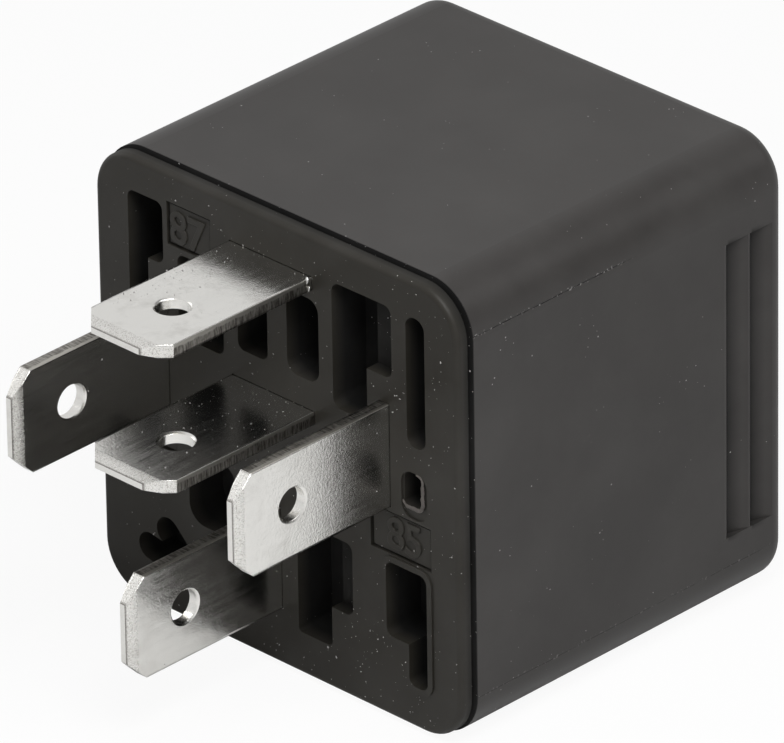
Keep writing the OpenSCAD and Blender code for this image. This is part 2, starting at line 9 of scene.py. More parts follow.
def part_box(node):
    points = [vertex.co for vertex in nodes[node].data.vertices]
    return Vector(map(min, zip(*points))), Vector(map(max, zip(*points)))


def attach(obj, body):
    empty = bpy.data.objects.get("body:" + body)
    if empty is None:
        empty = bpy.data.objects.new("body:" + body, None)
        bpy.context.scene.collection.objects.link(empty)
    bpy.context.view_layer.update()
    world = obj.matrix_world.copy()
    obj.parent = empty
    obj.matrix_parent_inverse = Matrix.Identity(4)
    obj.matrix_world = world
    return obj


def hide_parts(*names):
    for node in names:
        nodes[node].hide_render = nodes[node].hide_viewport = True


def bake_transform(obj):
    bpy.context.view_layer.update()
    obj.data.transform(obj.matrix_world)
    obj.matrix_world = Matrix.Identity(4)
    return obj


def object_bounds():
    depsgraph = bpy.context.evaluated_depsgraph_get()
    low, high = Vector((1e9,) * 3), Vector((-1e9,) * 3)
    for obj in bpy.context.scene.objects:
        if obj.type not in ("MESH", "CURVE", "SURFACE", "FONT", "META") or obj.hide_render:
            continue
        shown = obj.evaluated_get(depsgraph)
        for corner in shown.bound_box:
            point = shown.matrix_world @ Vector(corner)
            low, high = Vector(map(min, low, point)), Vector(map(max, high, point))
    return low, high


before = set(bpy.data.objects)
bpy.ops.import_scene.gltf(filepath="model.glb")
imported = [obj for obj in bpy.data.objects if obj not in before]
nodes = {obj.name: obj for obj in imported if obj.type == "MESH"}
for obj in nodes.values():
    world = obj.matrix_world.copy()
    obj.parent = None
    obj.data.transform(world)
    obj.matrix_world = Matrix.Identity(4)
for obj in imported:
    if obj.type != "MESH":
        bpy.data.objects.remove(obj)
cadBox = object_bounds()
scene = bpy.context.scene
mm = 0.001
print("frame loaded:", len(nodes), "solids")


# ---------- places taken from the solids ----------

def midOf(name):
    low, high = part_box(name)
    return (low + high) / 2


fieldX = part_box("terminal_30")[0].x + 0.4 * mm
z87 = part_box("terminal_87")[1].z - 0.4 * mm
z87a = 2.7 * mm
x85, x86 = midOf("terminal_85").x, midOf("terminal_86").x
coilZ = midOf("terminal_85").z
z30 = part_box("terminal_30")[0].z + 3.15 * mm
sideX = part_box("cover")[1].x
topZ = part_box("cover")[1].z
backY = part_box("cover")[1].y


# The part of a terminal that stands out of the face
def bladeBox(name):
    points = [v.co for v in nodes[name].data.vertices if v.co.y < -5 * mm]
    low = Vector([min(p[i] for p in points) for i in range(3)])
    high = Vector([max(p[i] for p in points) for i in range(3)])
    return low, high


# ---------- camera ----------

cameraValues = {
    "place": (0.439102, -0.432807, 0.338696),
    "turn": (61.5443, 0.8019, 44.3899),
    "lens": 590.34,
    "shiftY": -0.0043,
}


def makeCamera(v):
    data = bpy.data.cameras.new("relayCamera")
    data.sensor_width = 36
    data.lens = v["lens"]
    data.shift_y = v["shiftY"]
    data.clip_start, data.clip_end = 0.01, 20
    cam = bpy.data.objects.new("relayCamera", data)
    cam.location = v["place"]
    cam.rotation_euler = [math.radians(a) for a in v["turn"]]
    scene.collection.objects.link(cam)
    scene.camera = cam


makeCamera(cameraValues)
print("camera placed")


# ---------- shader helpers ----------

def addNode(tree, kind, inputs=None, **settings):
    node = tree.nodes.new(kind)
    for key, value in settings.items():
        setattr(node, key, value)
    for key, value in (inputs or {}).items():
        if isinstance(value, bpy.types.NodeSocket):
            tree.links.new(value, node.inputs[key])
        else:
            node.inputs[key].default_value = value
    return node


def mathNode(tree, op, a, b=0.0, clamp=False):
    return addNode(tree, "ShaderNodeMath", {0: a, 1: b}, operation=op, use_clamp=clamp).outputs[0]


def spread(tree, value, low, high, toLow=0.0, toHigh=1.0):
    node = addNode(tree, "ShaderNodeMapRange", {0: value, 1: low, 2: high, 3: toLow, 4: toHigh})
    return node.outputs[0]


def mixColour(tree, factor, a, b, blend="MIX"):
    node = addNode(tree, "ShaderNodeMix", data_type="RGBA", blend_type=blend)
    for index, value in ((0, factor), (6, a), (7, b)):
        if isinstance(value, bpy.types.NodeSocket):
            tree.links.new(value, node.inputs[index])
        else:
            node.inputs[index].default_value = value
    return node.outputs[2]


def grey(value, warm=0.0):
    return (value * (1 + warm), value, value * (1 - warm), 1)


def newGroup(name, inputs, outputs):
    group = bpy.data.node_groups.new(name, "ShaderNodeTree")
    for label, kind, value in inputs:
        socket = group.interface.new_socket(label, in_out="INPUT", socket_type=kind)
        if value is not None:
            socket.default_value = value
    for label, kind in outputs:
        group.interface.new_socket(label, in_out="OUTPUT", socket_type=kind)
    return group, group.nodes.new("NodeGroupInput"), group.nodes.new("NodeGroupOutput")


floatSocket, vectorSocket, colourSocket = "NodeSocketFloat", "NodeSocketVector", "NodeSocketColor"


# Fine settled dust: a soft film in patches, and tiny pale specks
def makeDustGroup():
    group, gin, gout = newGroup(
        "settledDust",
        [("Vector", vectorSocket, None), ("Speck Scale", floatSocket, 2200.0), ("Speck Size", floatSocket, 0.16),
         ("Film", floatSocket, 0.3)],
        [("Film Mask", floatSocket), ("Speck Mask", floatSocket)],
    )
    vec = gin.outputs["Vector"]
    cells = addNode(group, "ShaderNodeTexVoronoi", {"Vector": vec, "Scale": gin.outputs["Speck Scale"], "Randomness": 1.0})
    pick = addNode(group, "ShaderNodeTexNoise", {"Vector": vec, "Scale": 620.0, "Detail": 2.0})
    size = mathNode(group, "MULTIPLY", gin.outputs["Speck Size"], spread(group, pick.outputs[0], 0.5, 0.72))
    speck = mathNode(group, "LESS_THAN", cells.outputs["Distance"], size)
    patch = addNode(group, "ShaderNodeTexNoise", {"Vector": vec, "Scale": 130.0, "Detail": 5.0, "Roughness": 0.6})
    film = mathNode(group, "MULTIPLY", spread(group, patch.outputs[0], 0.42, 0.75), gin.outputs["Film"])
    group.links.new(film, gout.inputs["Film Mask"])
    group.links.new(speck, gout.inputs["Speck Mask"])
    return group


# Spark-eroded mould texture: fine pits over a slow tone change
def makeMouldGroup():
    group, gin, gout = newGroup(
        "mouldTexture",
        [("Vector", vectorSocket, None), ("Grain Scale", floatSocket, 5200.0)],
        [("Height", floatSocket), ("Tone", floatSocket)],
    )
    vec = gin.outputs["Vector"]
    fine = addNode(group, "ShaderNodeTexNoise", {"Vector": vec, "Scale": gin.outputs["Grain Scale"], "Detail": 3.0, "Roughness": 0.7})
    slow = addNode(group, "ShaderNodeTexNoise", {"Vector": vec, "Scale": 90.0, "Detail": 3.0})
    middle = addNode(group, "ShaderNodeTexNoise", {"Vector": vec, "Scale": 900.0, "Detail": 2.0})
    both = mathNode(group, "ADD", fine.outputs[0], mathNode(group, "MULTIPLY", middle.outputs[0], 0.6))
    group.links.new(both, gout.inputs["Height"])
    tone = mathNode(group, "ADD", mathNode(group, "MULTIPLY", slow.outputs[0], 0.7), mathNode(group, "MULTIPLY", middle.outputs[0], 0.3))
    group.links.new(tone, gout.inputs["Tone"])
    return group


# Rolled and plated strip: grain, faint length scratches, small stains
def makeStripGroup():
    group, gin, gout = newGroup(
        "rolledStrip",
        [("Vector", vectorSocket, None)],
        [("Grain", floatSocket), ("Scratches", floatSocket), ("Stain", floatSocket)],
    )
    vec = gin.outputs["Vector"]
    grain = addNode(group, "ShaderNodeTexNoise", {"Vector": vec, "Scale": 6500.0, "Detail": 3.0, "Roughness": 0.75})
    along = addNode(group, "ShaderNodeMapping", {"Vector": vec, "Scale": (1.0, 0.06, 1.0)})
    lines = addNode(group, "ShaderNodeTexNoise", {"Vector": along.outputs[0], "Scale": 4200.0, "Detail": 2.0, "Roughness": 0.6})
    spots = addNode(group, "ShaderNodeTexNoise", {"Vector": vec, "Scale": 420.0, "Detail": 6.0, "Roughness": 0.7})
    group.links.new(grain.outputs[0], gout.inputs["Grain"])
    group.links.new(lines.outputs[0], gout.inputs["Scratches"])
    group.links.new(spread(group, spots.outputs[0], 0.5, 0.7), gout.inputs["Stain"])
    return group


# Where a face leaves the three flat directions, such as a bevel, and where it faces one way
def makeFacingGroup():
    group, gin, gout = newGroup(
        "facing",
        [("Normal", vectorSocket, None)],
        [("Slanted", floatSocket), ("X", floatSocket), ("Z", floatSocket)],
    )
    parts = addNode(group, "ShaderNodeSeparateXYZ", {0: gin.outputs["Normal"]})
    size = [mathNode(group, "ABSOLUTE", parts.outputs[i]) for i in range(3)]
    most = mathNode(group, "MAXIMUM", mathNode(group, "MAXIMUM", size[0], size[1]), size[2])
    group.links.new(spread(group, most, 0.995, 0.97), gout.inputs["Slanted"])
    group.links.new(spread(group, size[0], 0.9, 0.99), gout.inputs["X"])
    group.links.new(spread(group, size[2], 0.9, 0.99), gout.inputs["Z"])
    return group


dustGroup, mouldGroup = makeDustGroup(), makeMouldGroup()
stripGroup, facingGroup = makeStripGroup(), makeFacingGroup()


def placeGroup(tree, group, inputs):
    node = tree.nodes.new("ShaderNodeGroup")
    node.node_tree = group
    for key, value in (inputs or {}).items():
        if isinstance(value, bpy.types.NodeSocket):
            tree.links.new(value, node.inputs[key])
        else:
            node.inputs[key].default_value = value
    return node


def newMaterial(name):
    mat = bpy.data.materials.new(name)
    mat.use_nodes = True
    tree = mat.node_tree
    tree.nodes.clear()
    out = tree.nodes.new("ShaderNodeOutputMaterial")
    shader = tree.nodes.new("ShaderNodeBsdfPrincipled")
    tree.links.new(shader.outputs[0], out.inputs[0])
    coords = tree.nodes.new("ShaderNodeTexCoord")
    return mat, tree, shader, coords


# ---------- plastics ----------

plasticValues = {
    "cover": {"colour": (0.034, 0.0315, 0.030), "rough": 0.42, "film": 0.10, "speckSize": 0.11, "grain": 0.0016, "gloss": 0.26},
    "base": {"colour": (0.022, 0.020, 0.016), "rough": 0.46, "film": 0.12, "speckSize": 0.10, "grain": 0.0012, "gloss": 0.22, "pocketShade": 0.95},
    "bobbin": {"colour": (0.030, 0.028, 0.026), "rough": 0.40, "film": 0.03, "speckSize": 0.03, "grain": 0.0008},
}
seamValues = {  # parting lines on the cover's side walls, painted shade behind the steps of the grip grooves, and painted shade on the cover's lip by the gap
    "upper": {"z": 11.3 * mm, "end": 14 * mm, "depth": 1.0},
    "lower": {"z": -11.0 * mm, "end": 25 * mm, "depth": 0.45},
    "halfWidth": 0.045 * mm,
    "lipShadeEnd": 1.14 * mm,
    "gripSteps": (21.2 * mm, 23.1 * mm),
    "gripShade": 1.15 * mm,
}


def tinted(colour, factor):
    return tuple(c * factor for c in colour) + (1,)


# A soft-edged line where a coordinate is near a value
def lineMask(tree, value, centre, halfWidth):
    away = mathNode(tree, "ABSOLUTE", mathNode(tree, "SUBTRACT", value, centre))
    return spread(tree, away, halfWidth, halfWidth * 0.35)


def partingLines(tree, vec, normal):
    parts = addNode(tree, "ShaderNodeSeparateXYZ", {0: vec})
    facing = placeGroup(tree, facingGroup, {"Normal": normal})
    wobble = addNode(tree, "ShaderNodeTexNoise", {"Vector": vec, "Scale": 500.0, "Detail": 3.0})
    dash = addNode(tree, "ShaderNodeTexNoise", {"Vector": vec, "Scale": 1500.0, "Detail": 2.0})
    z = mathNode(tree, "ADD", parts.outputs[2], mathNode(tree, "MULTIPLY", mathNode(tree, "SUBTRACT", wobble.outputs[0], 0.5), 0.09 * mm))
    line, lint = None, None
    for key in ("upper", "lower"):
        one = seamValues[key]
        reach = spread(tree, parts.outputs[1], one["end"], one["end"] - 1.5 * mm)
        thin = mathNode(tree, "MULTIPLY", lineMask(tree, z, one["z"], seamValues["halfWidth"]), mathNode(tree, "MULTIPLY", reach, one["depth"]))
        wide = mathNode(tree, "MULTIPLY", lineMask(tree, z, one["z"] + 0.02 * mm, 0.14 * mm), mathNode(tree, "MULTIPLY", reach, one["depth"]))
        line = thin if line is None else mathNode(tree, "MAXIMUM", line, thin)
        lint = wide if lint is None else mathNode(tree, "MAXIMUM", lint, wide)
    line = mathNode(tree, "MULTIPLY", mathNode(tree, "MULTIPLY", line, facing.outputs["X"]), spread(tree, dash.outputs[0], 0.36, 0.52))
    fibre = addNode(tree, "ShaderNodeTexNoise", {"Vector": vec, "Scale": 5200.0, "Detail": 2.0})
    lint = mathNode(tree, "MULTIPLY", mathNode(tree, "MULTIPLY", lint, facing.outputs["X"]), spread(tree, fibre.outputs[0], 0.60, 0.68))
    return line, lint, parts


def mouldedPlastic(name, v, seams=False):
    mat, tree, shader, coords = newMaterial(name)
    vec = coords.outputs["Object"]
    mould = placeGroup(tree, mouldGroup, {"Vector": vec})
    dust = placeGroup(tree, dustGroup, {"Vector": vec, "Film": v["film"], "Speck Size": v["speckSize"]})
    tone = spread(tree, mould.outputs["Tone"], 0.3, 0.7)
    body = mixColour(tree, tone, tinted(v["colour"], 0.88), tinted(v["colour"], 1.12))
    height = mathNode(tree, "MULTIPLY", mould.outputs["Height"], v["grain"] * mm)
    dark = None
    if seams:
        line, lint, parts = partingLines(tree, vec, coords.outputs["Normal"])
        shade = None
        # painted shade on each grip groove's floor, darkest at the step and fading towards the back
        for step in seamValues["gripSteps"]:
            one = spread(tree, mathNode(tree, "SUBTRACT", parts.outputs[1], step), -0.12 * mm, 0.0)
            one = mathNode(tree, "MULTIPLY", one, spread(tree, mathNode(tree, "SUBTRACT", parts.outputs[1], step), seamValues["gripShade"], 0.0))
            shade = one if shade is None else mathNode(tree, "MAXIMUM", shade, one)
        inGroove = spread(tree, mathNode(tree, "ABSOLUTE", parts.outputs[2]), 9.5 * mm, 9.1 * mm)
        inGroove = mathNode(tree, "MULTIPLY", inGroove, spread(tree, mathNode(tree, "ABSOLUTE", parts.outputs[0]), 13.0 * mm, 13.4 * mm))
        shade = mathNode(tree, "MULTIPLY", mathNode(tree, "MULTIPLY", shade, inGroove), 1.0)
        # painted shade on the cover's lip where it sits in the gap by the base
        paintedLipShade = mathNode(tree, "MULTIPLY", spread(tree, parts.outputs[1], seamValues["lipShadeEnd"] + 0.02 * mm, seamValues["lipShadeEnd"]), 0.9)
        # the parting lines, with the painted shade of the grip steps and the lip, darken the colour towards black
        dark = mathNode(tree, "MAXIMUM", mathNode(tree, "MAXIMUM", line, shade), paintedLipShade)
        body = mixColour(tree, dark, body, (0.004, 0.004, 0.004, 1))
        body = mixColour(tree, lint, body, grey(0.22, 0.03))
        height = mathNode(tree, "SUBTRACT", height, mathNode(tree, "MULTIPLY", line, 0.02 * mm))
    if v.get("pocketShade"):  # painted shade: the base darkens towards black with depth into its pockets and gaps, and is rougher there
        depth = addNode(tree, "ShaderNodeSeparateXYZ", {0: vec}).outputs[1]
        paintedPocketShade = mathNode(tree, "MULTIPLY", spread(tree, depth, 0.10 * mm, 1.0 * mm), v["pocketShade"])
        body = mixColour(tree, paintedPocketShade, body, (0.003, 0.003, 0.003, 1))
        dark = paintedPocketShade
    dusty = mixColour(tree, dust.outputs["Film Mask"], body, grey(0.14, 0.03))
    specked = mixColour(tree, dust.outputs["Speck Mask"], dusty, grey(0.30, 0.03))
    tree.links.new(specked, shader.inputs["Base Color"])
    rough = mathNode(tree, "ADD", spread(tree, mould.outputs["Tone"], 0.3, 0.7, v["rough"] - 0.04, v["rough"] + 0.05),
                     mathNode(tree, "MULTIPLY", dust.outputs["Film Mask"], 0.3))
    if dark is not None:
        rough = mathNode(tree, "ADD", rough, mathNode(tree, "MULTIPLY", dark, 0.45))
    tree.links.new(rough, shader.inputs["Roughness"])
    bump = addNode(tree, "ShaderNodeBump", {"Strength": 1.0, "Distance": 1.0, "Height": height})
    tree.links.new(bump.outputs[0], shader.inputs["Normal"])
    shader.inputs["Specular IOR Level"].default_value = v.get("gloss", 0.5)
    return mat


coverPlastic = mouldedPlastic("coverPlastic", plasticValues["cover"], seams=True)
basePlastic = mouldedPlastic("basePlastic", plasticValues["base"])
bobbinPlastic = mouldedPlastic("bobbinPlastic", plasticValues["bobbin"])
print("plastics made")


# ---------- metals ----------

bladeValues = {
    "colour": (0.80, 0.79, 0.76, 1),
    "stain": (0.46, 0.44, 0.41, 1),
    "edgeTone": (0.44, 0.42, 0.38, 1),
    "breakTone": (0.10, 0.09, 0.08, 1),
    "rough": 0.19,
    "edgeRough": 0.36,
    "tipRough": 0.26,
    "rollOver": 0.13 * mm,
}
bladeFinish = {  # grain and scratch depth in micrometres on each blade
    "terminal_87": {"grain": 6.0, "scratch": 1.2, "wave": 12.0, "stain": 0.38},
    "terminal_87a": {"grain": 7.0, "scratch": 0.8, "wave": 8.0, "stain": 0.22},
    "terminal_85": {"grain": 17.0, "scratch": 0.6, "wave": 10.0, "stain": 0.30},
    "terminal_86": {"grain": 7.0, "scratch": 1.2, "wave": 8.0, "stain": 0.34},
    "terminal_30": {"grain": 6.0, "scratch": 1.4, "wave": 14.0, "stain": 0.28},
}


# Plated blade: satin faces, grainy coined tip, rounded rim and sheared edges with upright break marks
def bladeMetal(nodeName, v, finish):
    mat, tree, shader, coords = newMaterial(nodeName + "_metal")
    vec = coords.outputs["Object"]
    low, high = bladeBox(nodeName)
    centre, half = (low + high) / 2, (high - low) / 2
    flat = half.x > half.z
    strip = placeGroup(tree, stripGroup, {"Vector": vec})
    face = placeGroup(tree, facingGroup, {"Normal": coords.outputs["Normal"]})
    parts = addNode(tree, "ShaderNodeSeparateXYZ", {0: vec})
    inX = mathNode(tree, "SUBTRACT", half.x, mathNode(tree, "ABSOLUTE", mathNode(tree, "SUBTRACT", parts.outputs[0], centre.x)))
    inZ = mathNode(tree, "SUBTRACT", half.z, mathNode(tree, "ABSOLUTE", mathNode(tree, "SUBTRACT", parts.outputs[2], centre.z)))
    wide, thin = (inX, inZ) if flat else (inZ, inX)
    across = mathNode(tree, "SUBTRACT", parts.outputs[2 if flat else 0], (centre.z if flat else centre.x))
    edge = mathNode(tree, "MULTIPLY", face.outputs["X" if flat else "Z"], spread(tree, wide, 0.06 * mm, 0.02 * mm))
    slanted = face.outputs["Slanted"]
    atTip = spread(tree, parts.outputs[1], low.y + 2.2 * mm, low.y + 1.9 * mm)
    tip = mathNode(tree, "MULTIPLY", slanted, atTip)
    # upright break marks below a smooth sheared band
    squeeze = (1.0, 1.0, 0.10) if flat else (0.10, 1.0, 1.0)
    breakVec = addNode(tree, "ShaderNodeMapping", {"Vector": vec, "Scale": squeeze})
    breaks = addNode(tree, "ShaderNodeTexNoise", {"Vector": breakVec.outputs[0], "Scale": 10500.0, "Detail": 3.0, "Roughness": 0.75})
    wander = addNode(tree, "ShaderNodeTexNoise", {"Vector": breakVec.outputs[0], "Scale": 1500.0, "Detail": 3.0})
    level = mathNode(tree, "ADD", across, mathNode(tree, "MULTIPLY", mathNode(tree, "SUBTRACT", wander.outputs[0], 0.5), 0.35 * mm))
    torn = mathNode(tree, "MULTIPLY", edge, spread(tree, level, 0.20 * mm, 0.10 * mm))
    tornDark = mathNode(tree, "MULTIPLY", torn, spread(tree, breaks.outputs[0], 0.58, 0.40, 0.25, 1.0))
    shine = mixColour(tree, mathNode(tree, "MULTIPLY", strip.outputs["Stain"], finish["stain"]), v["colour"], v["stain"])
    shine = mixColour(tree, mathNode(tree, "MULTIPLY", edge, 0.85), shine, v["edgeTone"])
    shine = mixColour(tree, tornDark, shine, v["breakTone"])
    speckle = addNode(tree, "ShaderNodeTexNoise", {"Vector": vec, "Scale": 13000.0, "Detail": 2.0, "Roughness": 0.8})
    shine = mixColour(tree, mathNode(tree, "MULTIPLY", tip, spread(tree, speckle.outputs[0], 0.47, 0.36)), shine, (0.42, 0.40, 0.37, 1))
    crease = mathNode(tree, "MULTIPLY", tip, spread(tree, parts.outputs[1], low.y + 0.14 * mm, low.y + 0.04 * mm))
    shine = mixColour(tree, mathNode(tree, "MULTIPLY", crease, 0.75), shine, v["breakTone"])
    tree.links.new(shine, shader.inputs["Base Color"])
    rough = spread(tree, strip.outputs["Scratches"], 0.3, 0.7, v["rough"] - 0.03, v["rough"] + 0.05)
    rough = mathNode(tree, "ADD", rough, mathNode(tree, "MULTIPLY", edge, v["edgeRough"] - v["rough"]))
    rough = mathNode(tree, "ADD", rough, mathNode(tree, "MULTIPLY", tip, v["tipRough"] - v["rough"]))
    tree.links.new(rough, shader.inputs["Roughness"])
    shader.inputs["Metallic"].default_value = 1.0
    # heights in metres
    um = 1e-6
    r = v["rollOver"]
    overWide = mathNode(tree, "MAXIMUM", mathNode(tree, "SUBTRACT", r, wide), 0.0)
    overThin = mathNode(tree, "MAXIMUM", mathNode(tree, "SUBTRACT", r, thin), 0.0)
    roll = mathNode(tree, "ADD", mathNode(tree, "MULTIPLY", overWide, overWide), mathNode(tree, "MULTIPLY", overThin, overThin))
    height = mathNode(tree, "MULTIPLY", roll, -0.38 / r)
    height = mathNode(tree, "ADD", height, mathNode(tree, "MULTIPLY", strip.outputs["Grain"], finish["grain"] * um))
    height = mathNode(tree, "ADD", height, mathNode(tree, "MULTIPLY", strip.outputs["Scratches"], finish["scratch"] * um))
    wave = addNode(tree, "ShaderNodeTexNoise", {"Vector": vec, "Scale": 900.0, "Detail": 1.0})
    height = mathNode(tree, "ADD", height, mathNode(tree, "MULTIPLY", wave.outputs[0], finish["wave"] * um))
    height = mathNode(tree, "ADD", height, mathNode(tree, "MULTIPLY", mathNode(tree, "MULTIPLY", speckle.outputs[0], tip), 14 * um))
    height = mathNode(tree, "ADD", height, mathNode(tree, "MULTIPLY", mathNode(tree, "MULTIPLY", breaks.outputs[0], torn), 22 * um))
    bump = addNode(tree, "ShaderNodeBump", {"Strength": 1.0, "Distance": 1.0, "Height": height})
    tree.links.new(bump.outputs[0], shader.inputs["Normal"])
    return mat


bladeMaterials = {name: bladeMetal(name, bladeValues, finish) for name, finish in bladeFinish.items()}


def plainMetal(name, colour, rough, stretch=(1, 1, 1), scale=2600.0, dark=0.7):
    mat, tree, shader, coords = newMaterial(name)
    turned = addNode(tree, "ShaderNodeMapping", {"Vector": coords.outputs["Object"], "Scale": stretch})
    marks = addNode(tree, "ShaderNodeTexNoise", {"Vector": turned.outputs[0], "Scale": scale, "Detail": 4.0, "Roughness": 0.65})
    cloud = addNode(tree, "ShaderNodeTexNoise", {"Vector": coords.outputs["Object"], "Scale": 260.0, "Detail": 3.0})
    shade = mixColour(tree, spread(tree, cloud.outputs[0], 0.35, 0.7), (*colour, 1), (*[c * dark for c in colour], 1))
    tree.links.new(shade, shader.inputs["Base Color"])
    tree.links.new(spread(tree, marks.outputs[0], 0.3, 0.7, rough - 0.06, rough + 0.08), shader.inputs["Roughness"])
    shader.inputs["Metallic"].default_value = 1.0
    bump = addNode(tree, "ShaderNodeBump", {"Strength": 0.3, "Distance": 0.01 * mm, "Height": marks.outputs[0]})
    tree.links.new(bump.outputs[0], shader.inputs["Normal"])
    return mat


magnetIron = plainMetal("magnetIron", (0.50, 0.50, 0.49), 0.38)
rivetSteel = plainMetal("rivetSteel", (0.62, 0.62, 0.60), 0.30)
springBronze = plainMetal("springBronze", (0.66, 0.42, 0.20), 0.26, (0.05, 1, 1))
contactSilver = plainMetal("contactSilver", (0.80, 0.79, 0.76), 0.22)
copperEnamel = plainMetal("copperEnamel", (0.62, 0.28, 0.12), 0.22, dark=0.8)
copperEnamel.node_tree.nodes["Principled BSDF"].inputs["Coat Weight"].default_value = 0.6
print("metals made")

nodeMaterial = {
    "cover": coverPlastic, "base": basePlastic, "bobbin": bobbinPlastic,
    **bladeMaterials,
    "yoke": magnetIron, "core": magnetIron, "armature": magnetIron,
    "coil_winding": copperEnamel, "coil_lead_85": copperEnamel, "coil_lead_86": copperEnamel,
    "contact_spring": springBronze,
    "moving_contact": contactSilver, "fixed_contact_87": contactSilver, "fixed_contact_87a": contactSilver,
    "frame_rivet": rivetSteel, "yoke_rivet_left": rivetSteel, "yoke_rivet_right": rivetSteel,
    "armature_rivet_left": rivetSteel, "armature_rivet_right": rivetSteel,
}
for name, obj in nodes.items():
    obj.data.materials.clear()
    obj.data.materials.append(nodeMaterial[name])


# ---------- mesh helpers ----------

def meshObject(name, bm, material):
    mesh = bpy.data.meshes.new(name)
    bm.to_mesh(mesh)
    bm.free()
    mesh.materials.append(material)
    obj = bpy.data.objects.new(name, mesh)
    scene.collection.objects.link(obj)
    return obj


# Copy of a solid's mesh with its doubles merged
def mergedCopy(nodeName):
    bm = bmesh.new()
    bm.from_mesh(nodes[nodeName].data)
    bmesh.ops.remove_doubles(bm, verts=bm.verts, dist=1e-7)
    return bm


def evaluatedCopy(obj, name):
    graph = bpy.context.evaluated_depsgraph_get()
    mesh = bpy.data.meshes.new_from_object(obj.evaluated_get(graph))
    made = bpy.data.objects.new(name, mesh)
    scene.collection.objects.link(made)
    data = obj.data
    bpy.data.objects.remove(obj)
    if data and data.users == 0 and isinstance(data, bpy.types.Mesh):
        bpy.data.meshes.remove(data)
    return made


# ---------- raised terminal numbers ----------

numberValues = {
    "height": 2.05 * mm,
    "raised": 0.10 * mm,
    "worn": 0.016 * mm,
    "floor": 0.12 * mm,
}
numberPlaces = {
    "87": (fieldX - 6.45 * mm, z87 - 0.35 * mm),
    "85": (x85 + 1.35 * mm, coilZ - 4.72 * mm),
    "86": (x86 - 1.30 * mm, coilZ - 4.72 * mm),
    "87a": (fieldX + 5.60 * mm, z87a - 1.95 * mm),
    "30": (fieldX - 3.75 * mm, -9.90 * mm),
}


# A font curve lies in X and Y facing +Z; here it is stood up to face -Y
def raisedNumber(text, place, v):
    curve = bpy.data.curves.new("number" + text, "FONT")
    curve.body = text
    curve.align_x, curve.align_y = "CENTER", "CENTER"
    curve.size = v["height"] * 1.36
    curve.extrude = v["raised"] / 2
    curve.bevel_depth = 0.045 * mm
    curve.bevel_resolution = 2
    curve.resolution_u = 8
    curve.space_character = 0.96
    obj = bpy.data.objects.new("temp", curve)
    scene.collection.objects.link(obj)
    bpy.context.view_layer.update()
    made = evaluatedCopy(obj, "number_" + text)
    middle = sum((Vector(c) for c in made.bound_box), Vector()) / 8
    stand = Matrix.Translation((place[0], v["floor"] - v["raised"] * 0.3, place[1])) @ Euler((math.radians(90), 0, 0)).to_matrix().to_4x4()
    made.data.transform(stand @ Matrix.Translation((-middle.x, -middle.y, 0)))
    wander = random.Random(len(text) * 7 + ord(text[0]))
    phase = wander.uniform(0, 9)
    for vert in made.data.vertices:  # strokes softened unevenly by wear of the mould
        x, z = vert.co.x / mm, vert.co.z / mm
        vert.co.x += v["worn"] * math.sin(5.3 * z + phase)
        vert.co.z += v["worn"] * math.sin(6.1 * x + 2 * phase)
        if vert.co.y < v["floor"]:
            vert.co.y += 0.02 * mm * (1 + math.sin(3.7 * x + 2.9 * z + phase))
    made.data.materials.clear()
    made.data.materials.append(basePlastic)
    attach(made, "housing")
    return made


for text, place in numberPlaces.items():
    raisedNumber(text, place, numberValues)
print("numbers made")


# ---------- contact spring, copied as one merged mesh -------

def bentSpring():
    bm = mergedCopy("contact_spring")
    leaf = meshObject("contactLeaf", bm, springBronze)
    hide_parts("contact_spring")
    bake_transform(leaf)
    return leaf


bentSpring()
print("spring made")


# ---------- geometry node helpers ----------

def geoTree(name, inputs):
    tree = bpy.data.node_groups.new(name, "GeometryNodeTree")
    tree.interface.new_socket("Geometry", in_out="INPUT", socket_type="NodeSocketGeometry")
    for label, kind, value in inputs:
        socket = tree.interface.new_socket(label, in_out="INPUT", socket_type=kind)
        if value is not None:
            socket.default_value = value
    tree.interface.new_socket("Geometry", in_out="OUTPUT", socket_type="NodeSocketGeometry")
    return tree, tree.nodes.new("NodeGroupInput"), tree.nodes.new("NodeGroupOutput")


def socketId(tree, label):
    return next(s.identifier for s in tree.interface.items_tree if s.name == label and s.in_out == "INPUT")


def growOn(obj, tree, values, name):
    mod = obj.modifiers.new("grow", "NODES")
    mod.node_group = tree
    for label, value in values.items():
        mod[socketId(tree, label)] = value
    bpy.context.view_layer.update()
    return evaluatedCopy(obj, name)


# ---------- coil winding ----------

windingValues = {
    "wire": 0.30 * mm,
    "sides": 6,
    "pointsPerTurn": 28,
}


